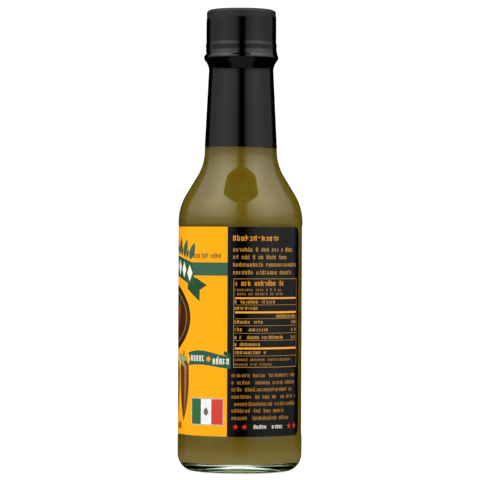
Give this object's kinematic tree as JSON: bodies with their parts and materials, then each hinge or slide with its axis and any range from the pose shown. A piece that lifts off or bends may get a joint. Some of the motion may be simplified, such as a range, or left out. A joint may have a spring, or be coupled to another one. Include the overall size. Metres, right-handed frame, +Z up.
{
  "type": "hot sauce bottle",
  "caption": "Tall round glass bottle of green hot sauce with a wrapped label, a screw cap and a black shrunk film round cap and neck; stands on its ring-shaped base.",
  "frame": {"origin": "centre of the base, in the plane that the bottle stands on", "axes": "+Z up along the bottle's axis. The picture's view looks along +Y with +X to its right, so the middle of the label's yellow front faces about -X, the black text panel faces about -Y and +X, and the label's gap faces +X, turned a little to +Y."},
  "size_m": [0.047, 0.047, 0.1745],
  "materials": {
    "glass": "clear, glossy, with a faint green tint",
    "sauce": "thick, olive green, finely speckled",
    "label": "satin printed film, yellow with black side panels",
    "cap": "black moulded plastic, matt",
    "film": "black glossy shrunk film"
  },
  "bodies": {
    "root": {"bottle_glass": "glass", "sauce": "sauce", "label": "label", "cap": "cap", "sleeve": "film"}
  },
  "joints": []
}
